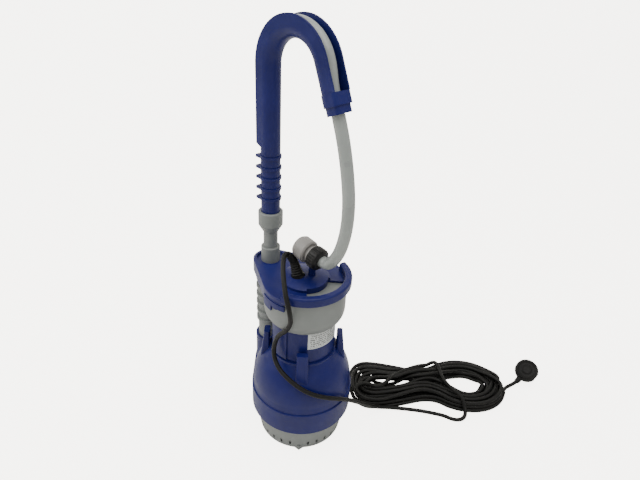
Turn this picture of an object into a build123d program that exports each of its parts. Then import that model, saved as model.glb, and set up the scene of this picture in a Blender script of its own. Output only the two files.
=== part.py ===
# Submersible rain-barrel pump with a hose-guide hook, a hose with a quick coupler and a mains lead.
# Millimetres. The origin is on the pump's axis, on the face it stands on. +Z is up.
# +X points from the riser pipe to the pump's axis, which is also the way the hook reaches.
from build123d import *
import math
import os

os.makedirs("parts", exist_ok=True)

# ------------------------------------------------------------------ driving sizes
wall = 3.0                # moulded walls
turn_gap = 0.35           # air between pieces that turn or slide past each other
seat_gap = 0.15           # air between still pieces that nest
run_gap = 0.05            # radial play of a shaft in its bearing

ring_radius = 82.0        # lower band of the volute housing
body_radius = ring_radius - 2.0
foot_low_radius = ring_radius - 13.0
foot_high_radius = ring_radius - 5.5
foot_height = 50.0
slot_count = 30           # pitches round the foot; one at the front has no slot
slot_width = 3.6
slot_height = 9.0
slot_low = 8.0
front_azimuth = -45.0     # the side that faces forward between hook and hose

ring_height = 40.0
shoulder_height = 152.0
shoulder_radius = 61.0
neck_radius = 52.5
neck_height = 168.0
boss_radius = 57.0
boss_height = 192.0
boss_width = 17.0
boss_depth = 9.0

riser_x = -80.0
duct_radius = 25.0
cup_height = 140.0
sleeve_radius = 20.0
rib_radius = 23.0
rib_pitch = 15.8
rib_count = 6
rib_height = 5.0
first_rib = 172.5
sleeve_low = 122.0
duct_low = 76.0
duct_bore = 17.0
sleeve_top = 275.0
sleeve_bore = 14.0

motor_radius = 49.0
motor_floor = 98.0
motor_top = 250.0
collar_low = 226.0
collar_high = 285.0
collar_shoulder = 268.0
collar_radius = 61.5
cover_low = 286.0
band_height = 15.0
band_radius = 68.0
band_width = 11.0
dome_radius = 36.0
spout_radius = 27.0

union_radius = 14.6
pipe_radius = 10.9
cup_radius = 18.4
pipe_low = 311.0
cup_base = 350.0
cup_top = 371.0

tube_radius = 14.0        # hose guide
tube_wall = 2.4
channel_low = 470.0
arch_height = 580.0       # where the arch springs from the upright
arch_radius = 51.0
arch_turn = 157.0
leg_length = 62.0
channel_depth = 14.2      # how far the channel's sides stand out past the tube's axis
hose_ride = 4.0           # how far the hose lies out of the tube's axis over the arch
end_collar_length = 25.0

hose_radius = 8.35
hose_bore = 6.4
coupler_tilt = 8.0
coupler_end = (30.0, 333.5)   # x and z where the hose enters the nut
sleeve_travel = 4.0

cable_radius = 3.5
shaft_radius = 4.0
impeller_radius = 44.0
foot_twist = 20.0

ring_top = foot_height + ring_height


def save(piece, name):
    piece.part.label = name
    export_step(piece.part, f"parts/{name}.step")


def azimuth(radius, degrees, z=0.0):
    turn = math.radians(degrees)
    return (radius * math.cos(turn), radius * math.sin(turn), z)


# ------------------------------------------------------------------ strainer foot
plate_low = 56.0          # underside of the suction plate
spigot_radius = ring_radius - wall - 4.0
lug_reach = 2.4
lug_arc = 16.0
lug_low = foot_height + 1.6
lug_high = foot_height + 3.8

with BuildPart() as strainer_foot:
    with BuildSketch(Plane.XZ):
        with BuildLine():
            Polyline(
                (0, 0), (foot_low_radius - 1.5, 0), (foot_low_radius, 1.5),
                (foot_high_radius, foot_height - 3), (foot_high_radius, foot_height - turn_gap),
                (spigot_radius, foot_height - turn_gap), (spigot_radius, plate_low - turn_gap),
                (spigot_radius - wall, plate_low - turn_gap), (spigot_radius - wall, foot_height - 4),
                (foot_low_radius - wall, wall), (0, wall), close=True,
            )
        make_face()
    revolve(axis=Axis.Z)
    for step in range(slot_count):
        if step == 0:
            continue
        turn = front_azimuth + step * 360 / slot_count
        with Locations(Location(azimuth(foot_low_radius, turn, slot_low + slot_height / 2), (0, 0, turn))):
            Box(4 * wall, slot_width, slot_height, mode=Mode.SUBTRACT)
    # a small pointed nose on the front of the rim
    with BuildSketch(Plane.XY):
        with BuildLine():
            Polyline(
                azimuth(foot_low_radius - 1, front_azimuth - 6)[:2],
                azimuth(foot_low_radius + 4, front_azimuth)[:2],
                azimuth(foot_low_radius - 1, front_azimuth + 6)[:2], close=True,
            )
        make_face()
    extrude(amount=8)
    # bayonet lugs
    for third in range(3):
        with BuildSketch(Plane.XZ.rotated((0, 0, third * 120 - lug_arc / 2))):
            with Locations((spigot_radius + lug_reach / 2 - 0.25, (lug_low + lug_high) / 2)):
                Rectangle(lug_reach + 0.5, lug_high - lug_low)
        revolve(axis=Axis.Z, revolution_arc=lug_arc)
save(strainer_foot, "strainer_foot")

screen_radius = foot_low_radius - wall - 3.0
screen_top = foot_height - 4.5
with BuildPart() as filter_screen:
    with BuildSketch(Plane.XY.offset(wall)):
        Circle(screen_radius)
        Circle(screen_radius - 1.0, mode=Mode.SUBTRACT)
    extrude(amount=screen_top - wall)
    with PolarLocations(screen_radius, 24, start_angle=7.5):
        with Locations((0, 0, (wall + screen_top) / 2)):
            Box(6, 10, screen_top - wall - 10, mode=Mode.SUBTRACT)
save(filter_screen, "filter_screen")

# ------------------------------------------------------------------ volute housing
chamber_radius = ring_radius - wall - 3.0
plate_height = 6.0
plate_top = plate_low + plate_height
plate_screw_radius = ring_radius - 14.0
recess_radius = spigot_radius + turn_gap + 0.05
groove_radius = spigot_radius + lug_reach + turn_gap

with BuildPart() as volute_housing:
    with BuildSketch(Plane.XY.offset(foot_height)):
        Circle(ring_radius)
        with Locations((riser_x + 1, 0)):
            Circle(duct_radius + 2)
        make_hull()
    extrude(amount=ring_height)
    chamfer(volute_housing.edges().group_by(Axis.Z)[-1], 1.2)
    with BuildSketch(Plane.XZ):
        with BuildLine():
            Polyline((0, ring_top), (body_radius, ring_top), (body_radius - 0.8, ring_top + 12))
            ThreePointArc(
                (body_radius - 0.8, ring_top + 12), (73.5, 131), (shoulder_radius, shoulder_height)
            )
            Polyline(
                (shoulder_radius, shoulder_height), (neck_radius, neck_height - 4),
                (neck_radius, neck_height), (0, neck_height), (0, ring_top),
            )
        make_face()
    revolve(axis=Axis.Z)
    # the riser duct stands up beside the body as a rounded cup
    with BuildSketch(Plane.XY.offset(ring_top)):
        with Locations((riser_x, 0)):
            Circle(duct_radius)
        with Locations((-28, 0)):
            Circle(46)
        make_hull()
    with BuildSketch(Plane.XY.offset(cup_height)):
        with Locations((riser_x, 0)):
            Circle(duct_radius - 0.5)
        with Locations((-45, 0)):
            Circle(14)
        make_hull()
    loft()
    # snap tongues that grip the motor housing
    for corner in range(4):
        turn = front_azimuth + 90 * corner
        foot_centre = Location(azimuth(boss_radius + 4, turn, 128), (0, 0, turn))
        top_centre = Location(azimuth(boss_radius, turn, boss_height), (0, 0, turn))
        with BuildSketch(Plane(foot_centre)):
            RectangleRounded(boss_depth + 8, boss_width + 3, 3)
        with BuildSketch(Plane(top_centre)):
            RectangleRounded(boss_depth, boss_width, 3)
        loft()
    # hollow for the foot, the plate, the pump chamber and the cooling jacket
    with BuildSketch(Plane.XZ):
        with BuildLine():
            Polyline(
                (0, foot_height), (recess_radius, foot_height), (recess_radius, plate_top),
                (chamber_radius, plate_top), (chamber_radius, ring_top + 12),
            )
            ThreePointArc((chamber_radius, ring_top + 12), (69.8, 128), (57.5, 148))
            Polyline(
                (57.5, 148), (motor_radius + seat_gap, 157), (motor_radius + seat_gap, neck_height),
                (0, neck_height), (0, foot_height),
            )
        make_face()
    revolve(axis=Axis.Z, mode=Mode.SUBTRACT)
    # the motor passes between the pillars
    with BuildSketch(Plane.XY.offset(neck_height)):
        Circle(motor_radius + seat_gap)
    extrude(amount=40, mode=Mode.SUBTRACT)
    # the riser duct's wall where it runs through the chamber
    for low, high, inside in (
        (duct_low + 30, cup_height, body_radius - wall),
        (cup_height, shoulder_height - 2, shoulder_radius - 1),
    ):
        with BuildSketch(Plane.XY.offset(low)):
            with Locations((riser_x, 0)):
                Circle(sleeve_radius + wall)
            Circle(inside, mode=Mode.INTERSECT)
        extrude(amount=high - low)
    # riser duct and the socket for the riser sleeve
    with BuildSketch(Plane.XY.offset(duct_low)):
        with Locations((riser_x, 0)):
            Circle(duct_bore)
    extrude(amount=sleeve_low - duct_low, mode=Mode.SUBTRACT)
    with BuildSketch(Plane.XY.offset(sleeve_low)):
        with Locations((riser_x, 0)):
            Circle(sleeve_radius + seat_gap)
    extrude(amount=boss_height - sleeve_low, mode=Mode.SUBTRACT)
    # bosses for the plate screws
    for sixth in range(6):
        with Locations(azimuth(plate_screw_radius, sixth * 60 + 30, plate_top)):
            Cylinder(8.3, 16, align=(Align.CENTER, Align.CENTER, Align.MIN))
            Hole(1.6, depth=13)
    # bayonet grooves: a way in, then a turn
    for third in range(3):
        start = third * 120 - lug_arc / 2 - 1
        with BuildSketch(Plane.XZ.rotated((0, 0, start))):
            with Locations((groove_radius - 3, (lug_low + lug_high) / 2)):
                Rectangle(6, lug_high - lug_low + 2 * turn_gap)
        revolve(axis=Axis.Z, revolution_arc=lug_arc + foot_twist + 2, mode=Mode.SUBTRACT)
        with BuildSketch(Plane.XZ.rotated((0, 0, start + foot_twist))):
            with Locations((groove_radius - 3, (foot_height + lug_high) / 2)):
                Rectangle(6, lug_high - foot_height + 2 * turn_gap)
        revolve(axis=Axis.Z, revolution_arc=lug_arc + 2, mode=Mode.SUBTRACT)
save(volute_housing, "volute_housing")

# ------------------------------------------------------------------ pump end
eye_radius = 17.0
with BuildPart() as suction_plate:
    with BuildSketch(Plane.XY.offset(plate_low)):
        Circle(recess_radius - seat_gap)
        Circle(eye_radius, mode=Mode.SUBTRACT)
    extrude(amount=plate_height)
    for sixth in range(6):
        with Locations(azimuth(plate_screw_radius, sixth * 60 + 30, plate_low)):
            Cylinder(1.75, plate_height * 2, mode=Mode.SUBTRACT)
save(suction_plate, "suction_plate")

with BuildPart() as plate_screws:
    for sixth in range(6):
        with Locations(azimuth(plate_screw_radius, sixth * 60 + 30, plate_low)):
            Cylinder(1.5, plate_height + 10, align=(Align.CENTER, Align.CENTER, Align.MIN))
            Cylinder(3.2, 2.2, align=(Align.CENTER, Align.CENTER, Align.MAX))
save(plate_screws, "plate_screws")

vane_low = plate_top + 2.0
impeller_height = 18.0
impeller_top = vane_low + impeller_height
with BuildPart() as diffuser:
    with BuildSketch(Plane.XY.offset(plate_top)):
        Circle(59)
        Circle(impeller_radius + 4, mode=Mode.SUBTRACT)
    extrude(amount=impeller_height + 4)
    with PolarLocations(54, 8):
        with Locations(Location((0, 0, plate_top + 12), (0, 0, 35))):
            Box(30, 7, 12, mode=Mode.SUBTRACT)
save(diffuser, "diffuser")

hub_radius = 9.0
with BuildPart() as impeller:
    with BuildSketch(Plane.XY.offset(impeller_top - 3)):
        Circle(impeller_radius)
        Circle(shaft_radius, mode=Mode.SUBTRACT)
    extrude(amount=3)
    with BuildSketch(Plane.XY.offset(vane_low + 2)):
        Circle(hub_radius)
        Circle(shaft_radius, mode=Mode.SUBTRACT)
    extrude(amount=impeller_height - 5)
    with BuildSketch(Plane.XY.offset(vane_low)):
        Circle(impeller_radius)
        Circle(eye_radius, mode=Mode.SUBTRACT)
    extrude(amount=2.4)
    for blade in range(6):
        with BuildSketch(Plane.XY.offset(vane_low + 2).rotated((0, 0, blade * 60))):
            with BuildLine():
                RadiusArc((hub_radius - 0.5, 0), (30, 30), 34)
                Line((30, 30), (32, 28))
                RadiusArc((32, 28), (hub_radius - 0.5, -2.6), -34)
                Line((hub_radius - 0.5, -2.6), (hub_radius - 0.5, 0))
            make_face()
        extrude(amount=impeller_height - 4)
save(impeller, "impeller")

# ------------------------------------------------------------------ motor
seal_radius = 11.0
with BuildPart() as motor_housing:
    with BuildSketch(Plane.XZ):
        with BuildLine():
            Polyline(
                (seal_radius, motor_floor), (motor_radius - 2, motor_floor),
                (motor_radius, motor_floor + 2),
                (motor_radius, motor_top), (motor_radius - wall, motor_top),
                (motor_radius - wall, motor_floor + 5),
                (seal_radius, motor_floor + 5), close=True,
            )
        make_face()
    revolve(axis=Axis.Z)
    # raised panel on the side, and the rib that backs the riser
    with BuildSketch(Plane.XZ.rotated((0, 0, -112))):
        with Locations((motor_radius + 0.9, (neck_height + collar_low) / 2 + 1)):
            RectangleRounded(2.6, collar_low - neck_height - 2, 1)
    revolve(axis=Axis.Z, revolution_arc=38)
    with Locations((-motor_radius - 2.5, 0, (neck_height + collar_low) / 2 + 2)):
        Box(8, 18, collar_low - neck_height - 3)
save(motor_housing, "motor_housing")

label_low = 195.6
label_height = 30.2
with BuildPart() as rating_label:
    with BuildSketch(Plane.XZ.rotated((0, 0, -37))):
        with Locations((motor_radius + 0.25, label_low + label_height / 2)):
            Rectangle(0.5, label_height)
    revolve(axis=Axis.Z, revolution_arc=66)
save(rating_label, "rating_label")

can_radius = motor_radius - wall - seat_gap
can_wall = 1.4
can_low = motor_floor + 5 + seat_gap
can_top = 236.0
bearing_radius = 11.0
bearing_height = 7.0
low_bearing = can_low + can_wall
high_bearing = 222.0
with BuildPart() as motor_can:
    with BuildSketch(Plane.XZ):
        with BuildLine():
            Polyline(
                (bearing_radius - 3, can_low), (can_radius, can_low), (can_radius, can_top),
                (can_radius - can_wall, can_top), (can_radius - can_wall, can_low + can_wall),
                (bearing_radius + 2, can_low + can_wall),
                (bearing_radius + 2, low_bearing + bearing_height),
                (bearing_radius, low_bearing + bearing_height), (bearing_radius, low_bearing),
                (bearing_radius - 3, low_bearing), close=True,
            )
        make_face()
    revolve(axis=Axis.Z)
save(motor_can, "motor_can")

with BuildPart() as bearing_bracket:
    with BuildSketch(Plane.XZ):
        with BuildLine():
            Polyline(
                (bearing_radius, high_bearing), (bearing_radius + 3, high_bearing),
                (bearing_radius + 3, high_bearing + 3), (can_radius - can_wall, high_bearing + 3),
                (can_radius - can_wall, high_bearing + 8), (bearing_radius - 3, high_bearing + 8),
                (bearing_radius - 3, high_bearing + bearing_height),
                (bearing_radius, high_bearing + bearing_height),
                close=True,
            )
        make_face()
    revolve(axis=Axis.Z)
save(bearing_bracket, "bearing_bracket")

for low, name in ((low_bearing, "lower_bearing"), (high_bearing, "upper_bearing")):
    with BuildPart() as bearing:
        with BuildSketch(Plane.XY.offset(low)):
            Circle(bearing_radius)
            Circle(shaft_radius + run_gap, mode=Mode.SUBTRACT)
        extrude(amount=bearing_height)
        with BuildSketch(Plane.XY.offset(low + bearing_height)):
            Circle(8.6)
            Circle(6.4, mode=Mode.SUBTRACT)
        extrude(amount=-0.6, mode=Mode.SUBTRACT)
    save(bearing, name)

with BuildPart() as shaft_seal:
    with BuildSketch(Plane.XY.offset(motor_floor - 2)):
        Circle(seal_radius + 3)
        Circle(shaft_radius + 0.08, mode=Mode.SUBTRACT)
    extrude(amount=2)
    with BuildSketch(Plane.XY.offset(motor_floor)):
        Circle(seal_radius)
        Circle(shaft_radius + 0.08, mode=Mode.SUBTRACT)
    extrude(amount=5)
save(shaft_seal, "shaft_seal")

core_low = 142.0
core_height = 56.0
core_bore = 23.0
air_gap = 0.8
with BuildPart() as stator_core:
    with BuildSketch(Plane.XY.offset(core_low)):
        Circle(can_radius - can_wall - seat_gap)
        Circle(core_bore, mode=Mode.SUBTRACT)
        with PolarLocations(core_bore + 6, 12):
            Rectangle(9, 4, mode=Mode.SUBTRACT)
    extrude(amount=core_height)
save(stator_core, "stator_core")

with BuildPart() as windings:
    for low in (core_low - 17, core_low + core_height):
        with BuildSketch(Plane.XY.offset(low)):
            Circle(39)
            Circle(core_bore + 3, mode=Mode.SUBTRACT)
        extrude(amount=17)
    chamfer(windings.edges().filter_by(GeomType.CIRCLE).group_by(SortBy.RADIUS)[-1], 3)
save(windings, "windings")

shaft_low = vane_low - 6
shaft_top = high_bearing + bearing_height
with BuildPart() as shaft:
    with Locations((0, 0, shaft_low)):
        Cylinder(shaft_radius, shaft_top - shaft_low, align=(Align.CENTER, Align.CENTER, Align.MIN))
    chamfer(shaft.edges().group_by(Axis.Z)[0], 0.6)
save(shaft, "shaft")

with BuildPart() as rotor_core:
    with BuildSketch(Plane.XY.offset(core_low)):
        Circle(core_bore - air_gap)
        Circle(shaft_radius, mode=Mode.SUBTRACT)
    extrude(amount=core_height)
    for low in (core_low - 4, core_low + core_height):
        with BuildSketch(Plane.XY.offset(low)):
            Circle(core_bore - 3)
            Circle(13, mode=Mode.SUBTRACT)
        extrude(amount=4)
save(rotor_core, "rotor_core")

with BuildPart() as impeller_nut:
    with BuildSketch(Plane.XY.offset(vane_low - 3)):
        RegularPolygon(7.5, 6)
        Circle(shaft_radius, mode=Mode.SUBTRACT)
    extrude(amount=5)
save(impeller_nut, "impeller_nut")

lid_low = can_top + 3
with BuildPart() as motor_lid:
    with BuildSketch(Plane.XZ):
        with BuildLine():
            Polyline(
                (0, lid_low), (can_radius - 2, lid_low),
                (can_radius - 2, lid_low + 3), (can_radius - 0.1, lid_low + 3),
                (can_radius - 0.1, motor_top), (motor_radius, motor_top), (motor_radius, motor_top + 3),
                (0, motor_top + 3), close=True,
            )
        make_face()
    revolve(axis=Axis.Z)
    with Locations((-12, -14, lid_low)):
        Cylinder(cable_radius + 1, 40, mode=Mode.SUBTRACT)
save(motor_lid, "motor_lid")

with BuildPart() as lid_ring:
    with BuildSketch(Plane.XZ):
        with Locations((can_radius - 0.9, lid_low + 1.6)):
            Rectangle(1.7, 2.6)
    revolve(axis=Axis.Z)
save(lid_ring, "lid_ring")

with BuildPart() as capacitor:
    with BuildSketch(Plane.XZ.offset(-24)):
        with Locations((20, motor_top + 3 + 12.5)):
            Circle(12)
    extrude(amount=48)
    fillet(capacitor.edges().filter_by(GeomType.CIRCLE), 1.5)
save(capacitor, "capacitor")

with BuildPart() as terminal_block:
    with Locations((-22, 10, motor_top + 3 + 6)):
        Box(14, 30, 12)
        with GridLocations(0, 9, 1, 3):
            Cylinder(2.2, 20, mode=Mode.SUBTRACT)
save(terminal_block, "terminal_block")

# ------------------------------------------------------------------ collar and top cover
deck_low = collar_high - wall
bowl_top = 247.0          # the collar's skirt curves in below this
bowl_middle = 235.0
bowl_radius = 58.8
bowl_foot = motor_radius + 2.2
hull_radius = collar_radius + 2.2
with BuildPart() as collar:
    with BuildSketch(Plane.XZ):
        with BuildLine():
            Polyline(
                (collar_radius, bowl_top), (collar_radius, collar_high), (0, collar_high), (0, collar_low),
                (bowl_foot, collar_low),
            )
            ThreePointArc((bowl_foot, collar_low), (bowl_radius, bowl_middle), (collar_radius, bowl_top))
        make_face()
    revolve(axis=Axis.Z)
    # arm that holds the riser sleeve
    with BuildSketch(Plane.XY.offset(collar_low)):
        with Locations((riser_x, 0)):
            Circle(duct_radius - 1)
        Circle(44)
        make_hull()
    extrude(amount=collar_high - collar_low)
    # the arm's underside rises towards the riser
    with BuildSketch(Plane.XZ):
        with BuildLine():
            Polyline((-30, collar_low - 1), (-58, 258), (-120, 264), (-120, collar_low - 1), close=True)
        make_face()
    extrude(amount=80, both=True, mode=Mode.SUBTRACT)
    with BuildSketch(Plane.XZ):
        with BuildLine():
            Polyline(
                (0, collar_low - 1), (motor_radius + seat_gap, collar_low - 1),
                (motor_radius + seat_gap, motor_top + 3.2),
                (collar_radius - wall, motor_top + 8),
                (collar_radius - wall, deck_low), (0, deck_low), close=True,
            )
        make_face()
    revolve(axis=Axis.Z, mode=Mode.SUBTRACT)
    with BuildSketch(Plane.XY.offset(collar_low)):
        with Locations((riser_x, 0)):
            Circle(sleeve_radius + seat_gap)
    extrude(amount=80, mode=Mode.SUBTRACT)
    with Locations((-3, -12, deck_low)):
        Cylinder(cable_radius + 1, 20, mode=Mode.SUBTRACT)
save(collar, "collar")

dome_rise = 8.0
dome_wall = 7.0           # upright wall of the dome, above the cover's underside
skirt_foot_top = 279.0
dome_sphere = (dome_radius ** 2 + dome_rise ** 2) / (2 * dome_rise)
dome_angle = math.degrees(math.asin(dome_radius / dome_sphere))
dome_base = cover_low + dome_wall
hole_inner = 33.0
hole_half_angle = 42.0
band_half_angle = 74.0
post_place = (8.0, 4.0)
gland_place = (-2.0, -12.0)
boot_top = (-12.0, -13.5, 319.0)
gland_low = 294.0
gland_rise = Vector(*boot_top) - Vector(gland_place[0], gland_place[1], gland_low)
gland_plane = Plane(origin=(gland_place[0], gland_place[1], gland_low), z_dir=gland_rise)
with BuildPart() as top_cover:
    with BuildSketch(Plane.XY.offset(collar_shoulder)):
        with Locations((riser_x, 0)):
            Circle(spout_radius)
        Circle(hull_radius)
        make_hull()
    extrude(amount=cover_low + 3 - collar_shoulder)
    fillet(top_cover.edges().group_by(Axis.Z)[-1], 1.5)
    # the skirt hangs only on the riser's side
    with BuildSketch(Plane.XZ):
        with BuildLine():
            Polyline(
                (24, cover_low), (6, collar_shoulder - 1),
                (100, collar_shoulder - 1), (100, cover_low), close=True,
            )
        make_face()
    extrude(amount=90, both=True, mode=Mode.SUBTRACT)
    # thicker foot of the skirt, drawn down on both sides
    for start, arc, foot_low in ((93, 18, 262), (71, 22, 271), (-111, 18, 262), (-93, 22, 271)):
        with BuildSketch(Plane.XZ.rotated((0, 0, start))):
            with Locations((hull_radius, (foot_low + skirt_foot_top) / 2)):
                Rectangle(2.4, skirt_foot_top - foot_low)
        revolve(axis=Axis.Z, revolution_arc=arc)
    # room for the collar and the riser sleeve
    with BuildSketch(Plane.XY.offset(250)):
        Circle(collar_radius + seat_gap)
    extrude(amount=collar_high + seat_gap - 250, mode=Mode.SUBTRACT)
    with BuildSketch(Plane.XY.offset(250)):
        with Locations((riser_x, 0)):
            Circle(duct_radius - 1 + seat_gap)
        Circle(44)
        make_hull()
    extrude(amount=collar_high + seat_gap - 250, mode=Mode.SUBTRACT)
    # dome in the middle
    with BuildSketch(Plane.XZ):
        with BuildLine():
            Polyline(
                (0, dome_base + dome_rise), (0, cover_low), (dome_radius, cover_low), (dome_radius, dome_base),
            )
            CenterArc((0, dome_base + dome_rise - dome_sphere), dome_sphere, 90 - dome_angle, dome_angle)
        make_face()
    revolve(axis=Axis.Z)
    # finger hole
    with BuildSketch(Plane.XZ.rotated((0, 0, -hole_half_angle))):
        with Locations(((hole_inner + band_radius - band_width + 2) / 2, cover_low)):
            Rectangle(band_radius - band_width + 2 - hole_inner, 40)
    revolve(axis=Axis.Z, revolution_arc=2 * hole_half_angle, mode=Mode.SUBTRACT)
    # carrying band
    with BuildSketch(Plane.XZ.rotated((0, 0, -band_half_angle))):
        with Locations((band_radius - band_width / 2, cover_low + band_height / 2)):
            RectangleRounded(band_width, band_height, 3)
    revolve(axis=Axis.Z, revolution_arc=2 * band_half_angle)
    # spout round the outlet
    with BuildSketch(Plane.XY.offset(cover_low)):
        with Locations((riser_x, 0)):
            Circle(sleeve_radius + 2)
    extrude(amount=10, mode=Mode.SUBTRACT)
    with BuildSketch(Plane.XY.offset(cover_low - 8)):
        with Locations((riser_x, 0)):
            Circle(union_radius + seat_gap)
    extrude(amount=10, mode=Mode.SUBTRACT)
    # post under the parked coupler
    with BuildSketch(Plane.XY.offset(295)):
        with Locations(post_place):
            Circle(6)
    with BuildSketch(Plane.XY.offset(318.5)):
        with Locations(post_place):
            Circle(4.2)
    loft()
    # seat for the cable gland
    with BuildSketch(gland_plane.offset(-14)):
        Circle(cable_radius + 1)
    extrude(amount=30, mode=Mode.SUBTRACT)
    with BuildSketch(gland_plane):
        Circle(10 + seat_gap)
    extrude(amount=20, mode=Mode.SUBTRACT)
save(top_cover, "top_cover")

boot_length = gland_rise.length
with BuildPart() as gland_nut:
    with BuildSketch(gland_plane):
        RegularPolygon(10, 12)
        Circle(cable_radius + 0.6, mode=Mode.SUBTRACT)
    extrude(amount=6)
save(gland_nut, "gland_nut")

with BuildPart() as gland_boot:
    with BuildSketch(gland_plane.offset(6)):
        Circle(9)
    with BuildSketch(gland_plane.offset(17)):
        Circle(6)
    with BuildSketch(gland_plane.offset(boot_length)):
        Circle(cable_radius + 0.8)
    loft()
save(gland_boot, "gland_boot")

# ------------------------------------------------------------------ riser and outlet
with BuildPart() as riser_sleeve:
    with BuildSketch(Plane.XY.offset(sleeve_low)):
        with Locations((riser_x, 0)):
            Circle(sleeve_radius)
    extrude(amount=sleeve_top - sleeve_low)
    for rib in range(rib_count):
        with BuildSketch(Plane.XY.offset(first_rib + rib * rib_pitch)):
            with Locations((riser_x, 0)):
                Circle(rib_radius)
        extrude(amount=rib_height)
    with BuildSketch(Plane.XY.offset(sleeve_low)):
        with Locations((riser_x, 0)):
            Circle(sleeve_bore)
    extrude(amount=sleeve_top - sleeve_low, mode=Mode.SUBTRACT)
save(riser_sleeve, "riser_sleeve")

riser_axis = Axis((riser_x, 0, 0), (0, 0, 1))
union_bore = 9.5
water_bore = 6.0
with BuildPart() as outlet_union:
    with BuildSketch(Plane.XZ):
        with BuildLine():
            Polyline(
                (riser_x + union_bore, sleeve_top - 14),
                (riser_x + sleeve_bore - seat_gap, sleeve_top - 14),
                (riser_x + sleeve_bore - seat_gap, sleeve_top), (riser_x + union_radius, sleeve_top + 1),
                (riser_x + union_radius, pipe_low - 1), (riser_x + union_radius - 1, pipe_low),
                (riser_x + union_bore, pipe_low), close=True,
            )
        make_face()
    revolve(axis=riser_axis)
save(outlet_union, "outlet_union")

with BuildPart() as outlet_pipe:
    with BuildSketch(Plane.XZ):
        with BuildLine():
            Polyline(
                (riser_x + water_bore, pipe_low - 4), (riser_x + union_bore - 0.05, pipe_low - 4),
                (riser_x + union_bore - 0.05, pipe_low), (riser_x + pipe_radius, pipe_low),
                (riser_x + pipe_radius, pipe_low + 25), (riser_x + cup_radius, cup_base - 1),
                (riser_x + cup_radius, cup_top - 1), (riser_x + cup_radius - 1, cup_top),
                (riser_x + tube_radius + turn_gap, cup_top),
                (riser_x + tube_radius + turn_gap, cup_base + 2),
                (riser_x + water_bore, cup_base + 2), close=True,
            )
        make_face()
    revolve(axis=riser_axis)
save(outlet_pipe, "outlet_pipe")

valve_low = cover_low + 1.0
seat_height = 3.0
with BuildPart() as valve_seat:
    with BuildSketch(Plane.XY.offset(valve_low)):
        with Locations((riser_x, 0)):
            Circle(union_bore)
            Circle(5.5, mode=Mode.SUBTRACT)
    extrude(amount=seat_height)
save(valve_seat, "valve_seat")

stem_radius = 1.8
guide_low = valve_low + 15
with BuildPart() as valve_poppet:
    with BuildSketch(Plane.XY.offset(valve_low + seat_height)):
        with Locations((riser_x, 0)):
            Circle(7.2)
    extrude(amount=2)
    with BuildSketch(Plane.XY.offset(valve_low + seat_height + 2)):
        with Locations((riser_x, 0)):
            Circle(stem_radius)
    extrude(amount=11)
save(valve_poppet, "valve_poppet")

with BuildPart() as valve_guide:
    with BuildSketch(Plane.XY.offset(guide_low)):
        with Locations((riser_x, 0)):
            Circle(union_bore)
            Circle(stem_radius + run_gap, mode=Mode.SUBTRACT)
            with PolarLocations(6, 4):
                Circle(2, mode=Mode.SUBTRACT)
    extrude(amount=2.5)
save(valve_guide, "valve_guide")

spring_low = valve_low + seat_height + 2
with BuildPart() as valve_spring:
    with BuildLine():
        Helix(
            pitch=2.2, height=guide_low - spring_low - 1.0, radius=4.2, center=(riser_x, 0, spring_low + 0.5),
        )
    with BuildSketch(Plane(origin=(riser_x + 4.2, 0, spring_low + 0.5), z_dir=(0, 1, 0))):
        Circle(0.4)
    sweep(is_frenet=True)
save(valve_spring, "valve_spring")

# ------------------------------------------------------------------ hook that guides the hose
guide_low_end = cup_base + 2 + turn_gap
arch_end = math.radians(180 - arch_turn)
leg_start = (
    riser_x + arch_radius + arch_radius * math.cos(arch_end),
    arch_height + arch_radius * math.sin(arch_end),
)
leg_way = (math.sin(arch_end), -math.cos(arch_end))
leg_end = (leg_start[0] + leg_length * leg_way[0], leg_start[1] + leg_length * leg_way[1])
channel_leg = leg_length - end_collar_length
channel_end = (leg_start[0] + channel_leg * leg_way[0], leg_start[1] + channel_leg * leg_way[1])
hose_channel = hose_radius + 0.4
rib_levels = (392.7, 408.5, 424.7, 440.0, 456.0)
rib_thickness = 4.0

with BuildPart() as hose_guide:
    # channel, swept over the arch, open on its outer side
    with BuildLine(Plane.XZ) as arch_line:
        Line((riser_x, channel_low - 10), (riser_x, arch_height))
        JernArc((riser_x, arch_height), (0, 1), arch_radius, -arch_turn)
        Line(leg_start, channel_end)
    with BuildSketch(Plane.XY.offset(channel_low - 10)):
        with Locations((riser_x, 0)):
            Circle(tube_radius)
            Rectangle(channel_depth, 2 * tube_radius, align=(Align.MAX, Align.CENTER))
            Circle(tube_radius - tube_wall, mode=Mode.SUBTRACT)
            Rectangle(
                channel_depth, 2 * (tube_radius - tube_wall),
                align=(Align.MAX, Align.CENTER), mode=Mode.SUBTRACT,
            )
    sweep()
    # the channel's lower end is cut on the slant
    with BuildSketch(Plane.XZ):
        with BuildLine():
            Polyline(
                (riser_x - 20, channel_low + 7), (riser_x - 2, channel_low - 1),
                (riser_x + 16, channel_low - 3),
                (riser_x + 16, channel_low - 12), (riser_x - 20, channel_low - 12), close=True,
            )
        make_face()
    extrude(amount=30, both=True, mode=Mode.SUBTRACT)
    # round tube below it
    with BuildSketch(Plane.XY.offset(guide_low_end)):
        with Locations((riser_x, 0)):
            Circle(tube_radius)
            Circle(tube_radius - tube_wall, mode=Mode.SUBTRACT)
    extrude(amount=channel_low - guide_low_end)
    for level in rib_levels:
        with BuildSketch(Plane.XY.offset(level - rib_thickness / 2)):
            with Locations((riser_x, 0)):
                Circle(tube_radius + 1.6)
                Rectangle(channel_depth + 1, 2 * tube_radius + 1, align=(Align.MAX, Align.CENTER))
                Circle(tube_radius - 0.5, mode=Mode.SUBTRACT)
        extrude(amount=rib_thickness)
save(hose_guide, "hose_guide")

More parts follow.
